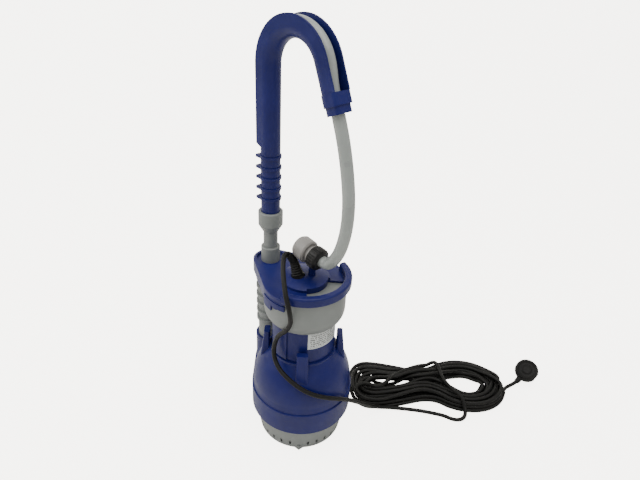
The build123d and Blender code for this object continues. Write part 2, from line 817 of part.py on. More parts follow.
leg_plane = Plane(
    origin=(channel_end[0], 0, channel_end[1]),
    x_dir=(leg_way[1], 0, -leg_way[0]),
    z_dir=(leg_way[0], 0, leg_way[1]),
)
with BuildPart() as guide_end_collar:
    for start, length, swell in ((0, end_collar_length - 10, 1.0), (end_collar_length - 10, 10, -0.8)):
        with BuildSketch(leg_plane.offset(start)) as section:
            Circle(tube_radius + swell)
            Rectangle(channel_depth + swell, 2 * (tube_radius + swell), align=(Align.MAX, Align.CENTER))
            fillet(section.vertices().group_by(Axis.X)[0], 5.0)
        extrude(amount=length)
    with BuildSketch(leg_plane):
        Circle(hose_channel)
    extrude(amount=end_collar_length, mode=Mode.SUBTRACT)
save(guide_end_collar, "guide_end_collar")

outward = (-leg_way[1] * hose_ride, leg_way[0] * hose_ride)
with BuildPart() as hose_in_guide:
    with BuildLine(Plane.XZ):
        Line((riser_x, guide_low_end), (riser_x, channel_low + 8))
        Spline(
            (riser_x, channel_low + 8), (riser_x - hose_ride, channel_low + 60),
            tangents=((0, 1), (0, 1)),
        )
        Line((riser_x - hose_ride, channel_low + 60), (riser_x - hose_ride, arch_height))
        JernArc((riser_x - hose_ride, arch_height), (0, 1), arch_radius + hose_ride, -arch_turn)
        Spline(
            (leg_start[0] + outward[0], leg_start[1] + outward[1]),
            channel_end, tangents=(leg_way, leg_way),
        )
        Line(channel_end, leg_end)
    with BuildSketch(Plane.XY.offset(guide_low_end)):
        with Locations((riser_x, 0)):
            Circle(hose_radius)
            Circle(hose_bore, mode=Mode.SUBTRACT)
    sweep()
save(hose_in_guide, "hose_in_guide")


# ------------------------------------------------------------------ free hose, mains lead, plug
def lay(points, radius):
    """Straight runs and tangent arcs through hand-chosen points, as one round solid."""
    spots = [Vector(*point) for point in points]
    runs = [(b - a).length for a, b in zip(spots, spots[1:])]
    radii = []
    for index in range(1, len(spots) - 1):
        turn = (spots[index] - spots[index - 1]).get_angle(spots[index + 1] - spots[index])
        radii.append(0.45 * min(runs[index - 1], runs[index]) / math.tan(math.radians(turn) / 2))
    with BuildPart() as tube:
        with BuildLine() as route:
            FilletPolyline(*points, radius=radii)
        with BuildSketch(Plane(origin=spots[0], z_dir=spots[1] - spots[0])):
            Circle(radius)
        sweep()
    length = sum(edge.length for edge in route.edges())
    share = tube.part.volume / (math.pi * radius ** 2 * length)
    print(f"route {length:.0f} long, longest run {max(runs):.0f}, fill {share:.3f}")
    return tube


coupler_way = (-math.cos(math.radians(coupler_tilt)), 0, math.sin(math.radians(coupler_tilt)))


def along_coupler(distance):
    return tuple(
        start + distance * way for start, way in zip((coupler_end[0], 0, coupler_end[1]), coupler_way)
    )


hose_entry = 14.0         # how deep the hose reaches into the nut
hose_points = [
    (leg_end[0], 0, leg_end[1]),
    (50.5, 0, 522),
    (58.5, 0, 496),
    (65, 0, 469),
    (69.5, 0, 442),
    (70.5, 0, 418),
    (69, 0, 397),
    (65.5, 0, 378),
    (60.5, 0, 362),
    (54, 0, 349),
    (45.5, 0, 338.5),
    along_coupler(-7),
    along_coupler(hose_entry),
]
hose_free = lay(hose_points, hose_radius)
save(hose_free, "hose_free")

plug_centre = (236.0, 375.7, 27.6)
plug_heading = 103.0      # compass of the pins, seen from above
plug_dip = 55.0           # how far they point down
outlet_turn = 70.0        # round the plug's face, from level towards the floor
heading = math.radians(plug_heading)
dip = math.radians(plug_dip)
pin_way = Vector(math.cos(heading) * math.cos(dip), math.sin(heading) * math.cos(dip), -math.sin(dip))
level_way = Vector(-math.sin(heading), math.cos(heading), 0)
fall_way = Vector(-math.cos(heading) * math.sin(dip), -math.sin(heading) * math.sin(dip), -math.cos(dip))
across = math.radians(outlet_turn)
outlet_way = level_way * math.cos(across) + fall_way * math.sin(across)
plug_plane = Plane(origin=plug_centre, x_dir=outlet_way, z_dir=pin_way)
plug_radius = 20.5
outlet_reach = 30.0

lead_points = [
    boot_top,
    (-17, -16, 330),
    (-17, -26, 336),
    (-9, -37, 333),
    (3, -48, 325),
    (16, -57.5, 316),
    (28, -65, 305),
    (36.5, -67, 291),
    (38, -65, 275),
    (35, -61, 258),
    (24, -60, 238),
    (9, -60, 222),
    (1, -60, 204),
    (-1, -61, 186),
    (4, -63, 173),
    (16, -65.5, 165),
    (31, -64.5, 158),
    (49, -58, 147),
    (65, -46.5, 136),
    (78, -28, 125),
    (86, -6, 113),
    (88.5, 17, 96),
    (87, 38, 75),
    (84.5, 60, 52),
    (84.5, 82, 30),
    (88, 104, 12),
    (100, 125, 5),
    (119, 143, 3.6),
    (141, 160.5, 3.6),
    (161, 174, 3.6),
    (179, 184.5, 3.6),
    (190, 187, 3.6),
    (199.5, 193, 3.6),
    (205, 202.5, 4),
    (204, 213, 8),
    (197, 220.5, 16),
    (188.5, 223.5, 25),
    (178, 224, 31),
    (160, 223, 36),
    (140, 226, 37),
    (122, 230, 33),
]
power_lead = lay(lead_points, cable_radius)
save(power_lead, "power_lead")

tail_points = [
    (226, 306, 13),
    (223, 318, 8),
    (222.5, 330, 5),
    (226, 341, 5.5),
    tuple(Vector(*plug_centre) + outlet_way * outlet_reach),
]
lead_tail = lay(tail_points, cable_radius)
save(lead_tail, "lead_tail")

hank_height = 30.0
hank_plane = Plane.XY.rotated((0, 0, 45))
with BuildPart() as lead_hank:
    with BuildSketch(hank_plane) as hank_plan:
        with Locations((152, 79)):
            Ellipse(63, 50)
        with Locations((311, 78)):
            Ellipse(76, 64)
        with Locations((222, 73)):
            Rectangle(90, 70)
    extrude(amount=hank_height)
    fillet(lead_hank.edges().group_by(Axis.Z)[-1], 7)
    with BuildSketch(hank_plane):
        with Locations((308, 81)):
            Ellipse(26, 16)
    extrude(amount=hank_height, mode=Mode.SUBTRACT)
save(lead_hank, "lead_hank")

with BuildPart() as plug_body:
    with BuildSketch(plug_plane.offset(-8)):
        Circle(plug_radius - 2)
    with BuildSketch(plug_plane.offset(-5)):
        Circle(plug_radius)
    loft()
    with BuildSketch(plug_plane.offset(-5)):
        Circle(plug_radius)
    extrude(amount=12)
    with BuildSketch(Plane(origin=plug_centre, z_dir=outlet_way)):
        Circle(7.5)
    with BuildSketch(Plane(origin=tail_points[-1], z_dir=outlet_way)):
        Circle(cable_radius + 1.2)
    loft()
    # side recesses for the earth clips, square to the pins
    with BuildSketch(plug_plane.offset(-1)):
        with Locations((0, plug_radius), (0, -plug_radius)):
            Rectangle(7, 6)
    extrude(amount=9, mode=Mode.SUBTRACT)
save(plug_body, "plug_body")

with BuildPart() as plug_pins:
    with BuildSketch(plug_plane.offset(7)):
        with Locations((9.5, 0), (-9.5, 0)):
            Circle(2.4)
    extrude(amount=19)
    chamfer(plug_pins.edges().filter_by(GeomType.CIRCLE), 0.6)
save(plug_pins, "plug_pins")

with BuildPart() as earth_contacts:
    with BuildSketch(plug_plane.offset(-1)):
        with Locations((0, plug_radius - 2.6), (0, -plug_radius + 2.6)):
            Rectangle(5, 0.8)
    extrude(amount=8)
save(earth_contacts, "earth_contacts")

# ------------------------------------------------------------------ quick coupler
coupler_plane = Plane(origin=along_coupler(0), x_dir=coupler_way, z_dir=(0, -1, 0))
coupler_axis = Axis(along_coupler(0), coupler_way)
nut_length = 17.0
nut_radius = 16.0
body_neck = 11.0
mouth_radius = 8.9
coupler_length = 45.0
sleeve_start = nut_length + 3.0 + sleeve_travel + turn_gap
grip_radius = 17.2


def turned(points, grooves=0, start=0.0, length=0.0, top=0.0, width=1.6):
    """A round piece on the coupler's axis, with lengthwise grip grooves in its skin."""
    with BuildPart() as piece:
        with BuildSketch(coupler_plane):
            with BuildLine():
                Polyline(*points, close=True)
            make_face()
        revolve(axis=coupler_axis)
        for groove in range(grooves):
            with BuildSketch(coupler_plane.rotated((groove * 360 / grooves, 0, 0))):
                with Locations((start + length / 2, top)):
                    Rectangle(length, 2.2)
            extrude(amount=width / 2, both=True, mode=Mode.SUBTRACT)
    return piece


coupler_nut = turned(
    [
        (0, hose_radius + 0.4), (0, nut_radius - 3.5),
        (3, nut_radius - 1), (3, nut_radius), (nut_length, nut_radius),
        (nut_length, hose_radius + 0.4),
    ],
    grooves=18, start=5, length=nut_length - 7, top=nut_radius, width=2.2,
)
save(coupler_nut, "coupler_nut")

ring_seat = nut_length + 11.0
ring_height_along = 2.6
coupler_body = turned([
    (nut_length, 5), (nut_length, nut_radius - 2),
    (nut_length + 3, nut_radius - 2), (nut_length + 3, body_neck),
    (coupler_length, body_neck), (coupler_length, mouth_radius),
    (ring_seat + ring_height_along, mouth_radius),
    (ring_seat + ring_height_along, mouth_radius + 0.8), (ring_seat, mouth_radius + 0.8), (ring_seat, 5),
])
save(coupler_body, "coupler_body")

coupler_sleeve = turned(
    [
        (sleeve_start, body_neck + turn_gap),
        (sleeve_start, grip_radius - 2), (sleeve_start + 2, grip_radius),
        (coupler_length - 3, grip_radius), (coupler_length + 1, grip_radius - 2.5),
        (coupler_length + 1, body_neck + turn_gap),
    ],
    grooves=12, start=sleeve_start + 5, length=11, top=grip_radius, width=2.6,
)
save(coupler_sleeve, "coupler_sleeve")

coupler_ring = turned([
    (ring_seat, mouth_radius - 1), (ring_seat, mouth_radius + 0.8),
    (ring_seat + ring_height_along, mouth_radius + 0.8),
    (ring_seat + ring_height_along, mouth_radius - 1),
])
save(coupler_ring, "coupler_ring")
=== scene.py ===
import math

import bpy
import numpy as np
from bpy.props import FloatProperty, FloatVectorProperty, IntProperty, PointerProperty
from mathutils import Matrix, Vector


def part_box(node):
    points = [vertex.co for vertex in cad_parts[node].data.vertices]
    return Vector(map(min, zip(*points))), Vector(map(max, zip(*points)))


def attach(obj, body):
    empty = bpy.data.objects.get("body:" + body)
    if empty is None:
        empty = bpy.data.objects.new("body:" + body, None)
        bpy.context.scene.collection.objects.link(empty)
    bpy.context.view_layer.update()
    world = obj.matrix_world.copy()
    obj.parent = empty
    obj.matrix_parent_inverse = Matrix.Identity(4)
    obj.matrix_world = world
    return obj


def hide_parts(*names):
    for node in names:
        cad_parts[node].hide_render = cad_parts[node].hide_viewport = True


bl_info = {
    "name": "Rain barrel pump",
    "version": (1, 0, 0),
    "blender": (4, 5, 0),
    "location": "3D View > Sidebar > Barrel pump",
    "description": "Finishes, cords and fittings of a submersible rain barrel pump",
    "category": "Object",
}

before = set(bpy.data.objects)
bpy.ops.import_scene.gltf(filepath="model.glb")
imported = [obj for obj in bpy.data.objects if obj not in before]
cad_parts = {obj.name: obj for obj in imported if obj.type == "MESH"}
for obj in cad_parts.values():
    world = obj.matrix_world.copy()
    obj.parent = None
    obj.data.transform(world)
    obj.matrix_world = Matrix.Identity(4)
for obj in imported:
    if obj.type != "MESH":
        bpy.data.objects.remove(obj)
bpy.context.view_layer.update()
MM = 0.001

# ---------------------------------------------------------------- routes, in millimetres
BOOT_FOOT = (-2.0, -12.0, 294.0)
BOOT_TOP = (-12.0, -13.5, 319.0)
LEAD_FROM_PUMP = [
    BOOT_TOP, (-17, -16, 330), (-17, -26, 336), (-9, -37, 333), (3, -48, 325), (16, -57.5, 316),
    (28, -65, 305), (36.5, -67, 291), (38, -65, 275), (35, -61, 258), (24, -60, 238), (9, -60, 222),
    (1, -60, 204), (-1, -61, 186), (4, -63, 173), (16, -65.5, 165), (31, -64.5, 158), (49, -58, 147),
    (65, -46.5, 136), (78, -28, 125), (86, -6, 113), (88.5, 17, 96), (87, 38, 75), (84.5, 60, 52),
    (84.5, 82, 30), (88, 104, 12), (100, 125, 5), (119, 143, 3.6), (141, 160.5, 3.6), (161, 174, 3.6),
    (179, 184.5, 3.6), (190, 187, 3.6), (199.5, 193, 3.6), (205, 202.5, 4), (204, 213, 8),
    (188.5, 223.5, 25), (176, 224, 30), (158, 224, 31), (137, 233, 31),
]
LEAD_TO_PLUG = [(226, 306, 13), (223, 318, 8), (222.5, 330, 5), (226, 341, 5.5), (231.2, 350.9, 11.4)]
HOSE_ROUTE = [
    (42.17, 0, 542.86), (50.5, 0, 522), (58.5, 0, 496), (65, 0, 469), (69.5, 0, 442), (70.5, 0, 418),
    (69, 0, 397), (65.5, 0, 378), (60.5, 0, 362), (54, 0, 349), (45.5, 0, 338.5), (36.93, 0, 332.53),
    (16.14, 0, 335.45),
]
ARCH_CENTRE = (-29.0, 580.0)
ARCH_RADIUS = 51.0
ARCH_TURN = 157.0
HOSE_SEAT = (-80.0, 352.35)
HOSE_RIDE = 4.0                   # how far the hose lies outside the arch's own line
CHANNEL_BLEND = (478.0, 530.0)    # heights between which it moves out there
BOOT_BEND = [(-15.5, -17.0, 327.0), (-17.0, -22.0, 333.0)]
BOOT_START = 5.8                  # where the boot's skin begins, above the gland's foot
BOOT_WIDE, BOOT_TAPER = 9.4, 2.9  # its radius at the foot, and what it loses by the top
BOOT_GROOVE = 1.1
BOOT_NECK, BOOT_TIP = 6.2, 4.6    # radii round the bend

# ---------------------------------------------------------------- plug and coupler, in millimetres
PLUG_MIDDLE = (236.0, 375.7, 27.6)
PLUG_HEADING, PLUG_DIP, PLUG_OUTLET = 103.0, 55.0, 70.0
PLUG_RIM = 20.5
PLUG_BACK_DEPTH = 8.0
PLUG_BACK = [   # height over the plug's back and radius, from the rim's ring to the boss
    (-0.3, 17.6), (0.9, 17.4), (1.2, 16.7), (0.9, 15.9), (0.1, 15.5), (0.1, 8.0), (1.0, 7.6), (1.2, 6.6),
    (0.6, 5.6),
]
COUPLER_END = (30.0, 333.5)
COUPLER_TILT = 8.0
NUT_RIDGE_PLACE = (9.8, 15.9)     # along the coupler's axis, and out from it
NUT_RIDGE = (1.6, 2.1, 11.2)
# Black bars sunk in the release sleeve's slots, where and how big: painted shade for the dark inside of the
# grooves.
SLEEVE_SHADE_BAR_PLACE = (34.85, 16.3)
SLEEVE_SHADE_BAR = (0.8, 2.4, 10.6)

# The hank lies along its own axis, turned 45 degrees from the pump's. Each turn is a long loop, laid
# clockwise from its right end: a ring on the right, a waist, and a fan on the left.
HANK_TURN = math.radians(45)
RING_CENTRE = (308.0, 78.0)
RING_REACH = (77.0, 62.0)
LANE_PITCH = (8.8, 7.6)
WAIST_HALF = 34.0
WAIST_PITCH = 7.2
LANES = [0, 1, 2, 3, 4, 5, 4.5, 3.5, 2.5, 1.5, 0.5, 2, 3]
FAN_NEAR = [19, 26.2, 33.4, 40.6, 47.8, 55, 51, 44, 37, 30, 22.5, 33, 40]
FAN_FAR = [128, 121, 114, 107, 100, 92.5, 78, 84, 91, 99, 108, 76, 70]
FAN_END = [0, 7.2, 14.4, 21.6, 28.8, 36, 30, 22, 15, 9, 3, 16, 24]
LAST_STRAND = [
    (250, 45), (222, 47), (195, 38), (166, 28), (140, 23), (116, 23), (101, 31), (99, 44), (110, 52),
    (125, 46), (139, 41), (152, 50), (166, 66), (194, 86), (225, 99), (243, 114), (251, 122), (259, 118),
    (262, 104),
]
FLOOR_CLEAR = 3.6
PILE_TOP = 31.0


def metres(points):
    """Points in millimetres as points in metres."""
    return [tuple(v * MM for v in p) for p in points]


def hank_loop(turn):
    """One turn of the hank in its own plane."""
    lane = LANES[turn]
    reach = [r - p * lane for r, p in zip(RING_REACH, LANE_PITCH)]
    cx, cy = RING_CENTRE
    waist = WAIST_HALF - WAIST_PITCH * lane
    near, far, end = FAN_NEAR[turn], FAN_FAR[turn], FAN_END[turn]
    sway = 1.2 * math.sin(2.3 * turn + 0.4)
    middle = 0.5 * (near + far)
    ring = lambda t: (cx + reach[0] * math.cos(math.radians(t)), cy + reach[1] * math.sin(math.radians(t)))
    loop = [ring(t) for t in (-12, -38, -64, -90, -118)]
    loop += [(250, cy - waist * 1.12 - 1), (222, 74 - waist), (195, 74 - waist - 0.4 * (74 - waist - near))]
    loop += [(166, near + 5), (140, near + sway), (115 + end * 0.6, near)]
    loop += [(96 + end, near + 0.16 * (far - near)), (90 + end, middle),
             (96 + end, far - 0.16 * (far - near))]
    loop += [(115 + end * 0.6, far), (142, far - sway), (170, far - 6)]
    loop += [(197, 74 + waist + 0.42 * (far - 74 - waist)), (222, 74 + waist), (250, cy + waist * 1.12 + 1)]
    return loop + [ring(t) for t in (118, 90, 64, 38, 12)]


def hank_plan():
    """The whole hank from the plug's end, as it was laid, ending in the strand that crosses it."""
    plan = [p for turn in range(len(LANES)) for p in hank_loop(turn)]
    half = [math.radians(t) for t in (-12, -38, -64, -90, -118)]
    plan += [(RING_CENTRE[0] + 70 * math.cos(t), RING_CENTRE[1] - 1 + 56 * math.sin(t)) for t in half]
    return plan + LAST_STRAND


def lay_turns(plan, thick):
    """Gives each point the height at which its strand rests on the strands that are already there."""
    plan = np.array(plan, float)
    count = len(plan)
    before, after = plan[np.r_[0, 0:count - 1]], plan[np.r_[1:count, count - 1]]
    share = np.linspace(0, 1, 9)
    w0, w1, w2 = (1 - share) ** 2 / 2, 0.5 + share * (1 - share), share ** 2 / 2
    strands = w0[None, :, None] * before[:, None] + w1[None, :, None] * plan[:, None]
    strands += w2[None, :, None] * after[:, None]
    height = np.full(count, FLOOR_CLEAR)
    for k in range(4, count):
        old = strands[:k - 3].reshape(-1, 2)
        h = height[:k]
        down = w0 * h[np.r_[0, 0:k - 4]][:, None] + w1 * h[:k - 3][:, None] + w2 * h[1:k - 2][:, None]
        gap = np.linalg.norm(strands[k][:, None] - old[None], axis=2)
        rest = down.reshape(-1)[None] + np.sqrt(np.maximum(thick ** 2 - gap ** 2, 0))
        height[k] = max(FLOOR_CLEAR, np.where(gap < thick, rest, FLOOR_CLEAR).max())
    height = np.minimum(height, PILE_TOP)
    c, s = math.cos(HANK_TURN), math.sin(HANK_TURN)
    return [(x * c - y * s, x * s + y * c, z) for (x, y), z in zip(plan, height)]


# ---------------------------------------------------------------- settings
class PumpSizes(bpy.types.PropertyGroup):
    """Sizes that a user may change."""
    lead_diameter: FloatProperty(name="Lead diameter", description="Outside of the mains lead", default=0.007,
                                 unit="LENGTH")
    hose_diameter: FloatProperty(name="Hose diameter", description="Outside of the hose", default=0.0167,
                                 unit="LENGTH")
    boot_ribs: IntProperty(name="Boot ribs", description="Ribs on the cable boot", default=6, min=2, max=12)
    nut_ridges: IntProperty(name="Nut ridges", description="Ridges round the coupler's nut", default=18,
                            min=8, max=40)
    # The black bars in the release sleeve's slots are painted shade: dark pads that stand in for the shade
    # inside the grooves.
    sleeve_shade_bars: IntProperty(name="Sleeve slots", description="Dark slots round the release sleeve",
                              default=12, min=6, max=24)
    plug_grips: IntProperty(name="Plug grips", description="Ridges round the plug's rim", default=40, min=8,
                            max=80)
    grip_depth: FloatProperty(name="Grip depth", description="How far a ridge stands off the plug",
                              default=0.0008, unit="LENGTH")


class PumpColours(bpy.types.PropertyGroup):
    """Colours that a user may change."""
    housing: FloatVectorProperty(name="Housing", description="Blue of the mouldings",
                                 default=(0.005, 0.008, 0.100), size=3, subtype="COLOR")
    fittings: FloatVectorProperty(name="Fittings", description="Grey of foot, collar and riser",
                                  default=(0.190, 0.205, 0.202), size=3, subtype="COLOR")
    coupler: FloatVectorProperty(name="Coupler", description="Grey of the coupler",
                                 default=(0.25, 0.24, 0.23), size=3, subtype="COLOR")
    hose: FloatVectorProperty(name="Hose", description="Grey of the hose", default=(0.30, 0.325, 0.315),
                              size=3, subtype="COLOR")
    rubber: FloatVectorProperty(name="Rubber", description="Black of lead, plug and boot",
                                default=(0.0045, 0.0045, 0.0043), size=3, subtype="COLOR")
    nut: FloatVectorProperty(name="Nut", description="Black of the nuts", default=(0.005, 0.005, 0.005),
                             size=3, subtype="COLOR")
    label: FloatVectorProperty(name="Label", description="Film of the rating label",
                               default=(0.60, 0.63, 0.63), size=3, subtype="COLOR")


class StudioSettings(bpy.types.PropertyGroup):
    """Camera and light."""
    lens: FloatProperty(name="Lens", description="Focal length", default=28.0, unit="CAMERA")
    roll: FloatProperty(name="Roll", description="Turn of the camera about its line of sight",
                        default=math.radians(3.24), subtype="ANGLE")
    ceiling: FloatProperty(name="Ceiling light", description="Power of the soft box overhead", default=36.0,
                           unit="POWER")
    window: FloatProperty(name="Window light", description="Power of the light from the left", default=24.0,
                          unit="POWER")
    sky: FloatProperty(name="Fill", description="Strength of the even fill", default=0.62, min=0.0)
    glow: FloatProperty(name="Backdrop glow", description="How far the backdrop is over-exposed", default=5.0,
                        min=0.0)
    ground: FloatVectorProperty(name="Floor", description="Colour of floor and backdrop",
                                default=(0.86, 0.85, 0.82), size=3, subtype="COLOR")


# ---------------------------------------------------------------- shader building
def add(tree, kind, values=None, **options):
    """A node with its options and inputs set; an input's value may be a socket."""
    node = tree.nodes.new(kind)
    for name, value in options.items():
        setattr(node, name, value)
    for key, value in (values or {}).items():
        socket = node.inputs[key]
        if isinstance(value, bpy.types.NodeSocket):
            tree.links.new(value, socket)
        else:
            socket.default_value = value
    return node


def scale_value(tree, value, low, high):
    """A value from 0 to 1 turned into one from low to high."""
    return add(tree, "ShaderNodeMapRange", {0: value, 1: 0.0, 2: 1.0, 3: low, 4: high}).outputs[0]


def mix_colour(tree, factor, a, b):
    """A mix of two colours; each value may be a socket."""
    node = add(tree, "ShaderNodeMix", data_type="RGBA")
    for socket, value in ((node.inputs[0], factor), (node.inputs[6], a), (node.inputs[7], b)):
        if isinstance(value, bpy.types.NodeSocket):
            tree.links.new(value, socket)
        else:
            socket.default_value = value
    return node.outputs[2]


def group(name, inputs, outputs):
    """An empty shader group, its input and output nodes."""
    tree = bpy.data.node_groups.new(name, "ShaderNodeTree")
    for label, kind, default in inputs:
        socket = tree.interface.new_socket(label, in_out="INPUT", socket_type=kind)
        if default is not None:
            socket.default_value = default
    for label in outputs:
        tree.interface.new_socket(label, in_out="OUTPUT", socket_type="NodeSocketFloat")
    return tree, tree.nodes.new("NodeGroupInput").outputs, tree.nodes.new("NodeGroupOutput").inputs


def moulded_grain():
    """Fine spark-eroded grain and the broad unevenness of a moulding."""
    tree, given, out = group("moulded_grain", [
        ("Place", "NodeSocketVector", None), ("Grain Scale", "NodeSocketFloat", 1400.0),
        ("Broad Scale", "NodeSocketFloat", 22.0)], ["Grain", "Broad"])
    fine = add(tree, "ShaderNodeTexNoise",
               {"Vector": given["Place"], "Scale": given["Grain Scale"], "Detail": 3.0, "Roughness": 0.6})
    broad = add(tree, "ShaderNodeTexNoise",
                {"Vector": given["Place"], "Scale": given["Broad Scale"], "Detail": 4.0, "Roughness": 0.55})
    tree.links.new(fine.outputs[0], out["Grain"])
    spread = add(tree, "ShaderNodeMapRange", {0: broad.outputs[0], 1: 0.32, 2: 0.68, 3: 0.0, 4: 1.0})
    tree.links.new(spread.outputs[0], out["Broad"])
    return tree


def settled_dust():
    """Dust and water film that settle in patches, more on what faces up."""
    tree, given, out = group("settled_dust", [
        ("Place", "NodeSocketVector", None), ("Patch Scale", "NodeSocketFloat", 16.0),
        ("Upward Share", "NodeSocketFloat", 0.6)], ["Dust"])
    patch = add(tree, "ShaderNodeTexNoise",
                {"Vector": given["Place"], "Scale": given["Patch Scale"], "Detail": 7.0, "Roughness": 0.68})
    patch = add(tree, "ShaderNodeMapRange", {0: patch.outputs[0], 1: 0.45, 2: 0.75, 3: 0.0, 4: 1.0})
    speck = add(tree, "ShaderNodeTexNoise", {"Vector": given["Place"], "Scale": 420.0, "Detail": 2.0})
    speck = add(tree, "ShaderNodeMapRange", {0: speck.outputs[0], 1: 0.5, 2: 0.72, 3: 0.25, 4: 1.0})
    facing = add(tree, "ShaderNodeSeparateXYZ", {0: add(tree, "ShaderNodeNewGeometry").outputs["Normal"]})
    facing = add(tree, "ShaderNodeMapRange", {0: facing.outputs[2], 1: -0.2, 2: 1.0, 3: 0.0, 4: 1.0})
    keep = add(tree, "ShaderNodeMath", {0: 1.0, 1: given["Upward Share"]}, operation="SUBTRACT")
    lift = add(tree, "ShaderNodeMath", {0: facing.outputs[0], 1: given["Upward Share"], 2: keep.outputs[0]},
               operation="MULTIPLY_ADD")
    both = add(tree, "ShaderNodeMath", {0: patch.outputs[0], 1: speck.outputs[0]}, operation="MULTIPLY")
    dust = add(tree, "ShaderNodeMath", {0: both.outputs[0], 1: lift.outputs[0]}, operation="MULTIPLY")
    tree.links.new(dust.outputs[0], out["Dust"])
    return tree


def handling_marks():
    """Fine scratches that run mostly one way."""
    tree, given, out = group("handling_marks", [
        ("Place", "NodeSocketVector", None), ("Mark Scale", "NodeSocketFloat", 60.0),
        ("Amount", "NodeSocketFloat", 0.5)], ["Marks"])
    total = None
    for stretch, turn in (((1.0, 0.06, 0.35), 0.5), ((0.08, 1.0, 0.5), 1.1)):
        place = add(tree, "ShaderNodeMapping",
                    {"Vector": given["Place"], "Scale": stretch, "Rotation": (0.4, turn, turn)})
        line = add(tree, "ShaderNodeTexNoise",
                   {"Vector": place.outputs[0], "Scale": given["Mark Scale"], "Detail": 8.0,
                    "Roughness": 0.75})
        thin = add(tree, "ShaderNodeMapRange", {0: line.outputs[0], 1: 0.62, 2: 0.70, 3: 0.0, 4: 1.0})
        total = thin if total is None else add(tree, "ShaderNodeMath",
                                               {0: total.outputs[0], 1: thin.outputs[0]}, operation="MAXIMUM")
    amount = add(tree, "ShaderNodeMath", {0: total.outputs[0], 1: given["Amount"]}, operation="MULTIPLY")
    tree.links.new(amount.outputs[0], out["Marks"])
    return tree


def effect(tree, name, values):
    """Places one of the shared groups, made once."""
    made = bpy.data.node_groups.get(name) or {"moulded_grain": moulded_grain, "settled_dust": settled_dust,
                                              "handling_marks": handling_marks}[name]()
    node = tree.nodes.new("ShaderNodeGroup")
    node.node_tree = made
    for key, value in values.items():
        if isinstance(value, bpy.types.NodeSocket):
            tree.links.new(value, node.inputs[key])
        else:
            node.inputs[key].default_value = value
    return node.outputs


def shade(colour, factor):
    """A colour made darker or lighter, with full alpha."""
    return tuple(min(1.0, c * factor) for c in colour[:3]) + (1.0,)


def finish_of(name, colour, rough, spread=0.08, grain=(1400.0, 0.00006), dust=0.0,
              dust_colour=(0.5, 0.49, 0.45),
              marks=0.0, mottle=0.1, metal=0.0, sheen=0.0, coat=0.0, subsurface=0.0, gleam=0.5):
    """A material with grain, uneven gloss, dust and marks."""
    made = bpy.data.materials.new(name)
    made.use_nodes = True
    tree = made.node_tree
    surface = tree.nodes["Principled BSDF"]
    place = add(tree, "ShaderNodeTexCoord").outputs["Object"]
    base = effect(tree, "moulded_grain", {"Place": place, "Grain Scale": grain[0]})
    look = mix_colour(tree, base["Broad"], shade(colour, 1 - mottle), shade(colour, 1 + mottle))
    gloss = scale_value(tree, base["Broad"], rough - spread, rough + spread)
    if marks:
        mark = effect(tree, "handling_marks", {"Place": place, "Amount": marks})["Marks"]
        look = mix_colour(tree, scale_value(tree, mark, 0.0, 0.35), look, shade(colour, 1.9))
        gloss = add(tree, "ShaderNodeMath", {0: mark, 1: 0.25, 2: gloss}, operation="MULTIPLY_ADD").outputs[0]
    if dust:
        film = effect(tree, "settled_dust", {"Place": place})["Dust"]
        look = mix_colour(tree, scale_value(tree, film, 0.0, dust), look, (*dust_colour, 1.0))
        gloss = add(tree, "ShaderNodeMath", {0: film, 1: 0.3, 2: gloss}, operation="MULTIPLY_ADD").outputs[0]
    bump = add(tree, "ShaderNodeBump", {"Height": base["Grain"], "Distance": grain[1], "Strength": 1.0})
    tree.links.new(look, surface.inputs["Base Color"])
    tree.links.new(gloss, surface.inputs["Roughness"])
    tree.links.new(bump.outputs[0], surface.inputs["Normal"])
    surface.inputs["Metallic"].default_value = metal
    surface.inputs["Specular IOR Level"].default_value = gleam
    surface.inputs["Sheen Weight"].default_value = sheen
    surface.inputs["Coat Weight"].default_value = coat
    surface.inputs["Coat Roughness"].default_value = 0.2
    if subsurface:
        surface.inputs["Subsurface Weight"].default_value = subsurface
        surface.inputs["Subsurface Radius"].default_value = (0.004, 0.004, 0.004)
    return made


def finish(name, **settings):
    """The material of that name, made the first time."""
    return bpy.data.materials.get(name) or finish_of(name, **settings)


def housing_finish():
    return finish("blue_moulding", colour=bpy.context.scene.pump_colours.housing, rough=0.36, spread=0.07,
                  grain=(1500.0, 0.00005), dust=0.03, marks=0.3, mottle=0.12, gleam=0.28)


def fittings_finish():
    return finish("grey_moulding", colour=bpy.context.scene.pump_colours.fittings, rough=0.44, spread=0.07,
                  grain=(1300.0, 0.00006), dust=0.22, dust_colour=(0.30, 0.29, 0.24), marks=0.3, mottle=0.07)


def coupler_finish():
    return finish("coupler_moulding", colour=bpy.context.scene.pump_colours.coupler, rough=0.42, spread=0.10,
                  grain=(900.0, 0.0001), dust=0.45, dust_colour=(0.20, 0.19, 0.18), marks=0.5, mottle=0.14)


def hose_finish():
    return finish("hose_vinyl", colour=bpy.context.scene.pump_colours.hose, rough=0.30, spread=0.07,
                  grain=(700.0, 0.00004), dust=0.12, dust_colour=(0.3, 0.3, 0.27), mottle=0.06, coat=0.25,
                  subsurface=0.15)


def lead_finish():
    return finish("lead_sheath", colour=bpy.context.scene.pump_colours.rubber, rough=0.52, spread=0.09,
                  grain=(1800.0, 0.00008), dust=0.03, dust_colour=(0.35, 0.33, 0.29), mottle=0.2, gleam=0.25)


def plug_finish():
    return finish("plug_rubber", colour=bpy.context.scene.pump_colours.rubber, rough=0.58, spread=0.1,
                  grain=(1100.0, 0.00014), dust=0.05, dust_colour=(0.3, 0.29, 0.26), marks=0.3, mottle=0.2,
                  gleam=0.25)


def nut_finish():
    return finish("black_moulding", colour=bpy.context.scene.pump_colours.nut, rough=0.40, spread=0.08,
                  grain=(1200.0, 0.00008), dust=0.05, dust_colour=(0.3, 0.29, 0.27), marks=0.35, mottle=0.15,
                  gleam=0.3)


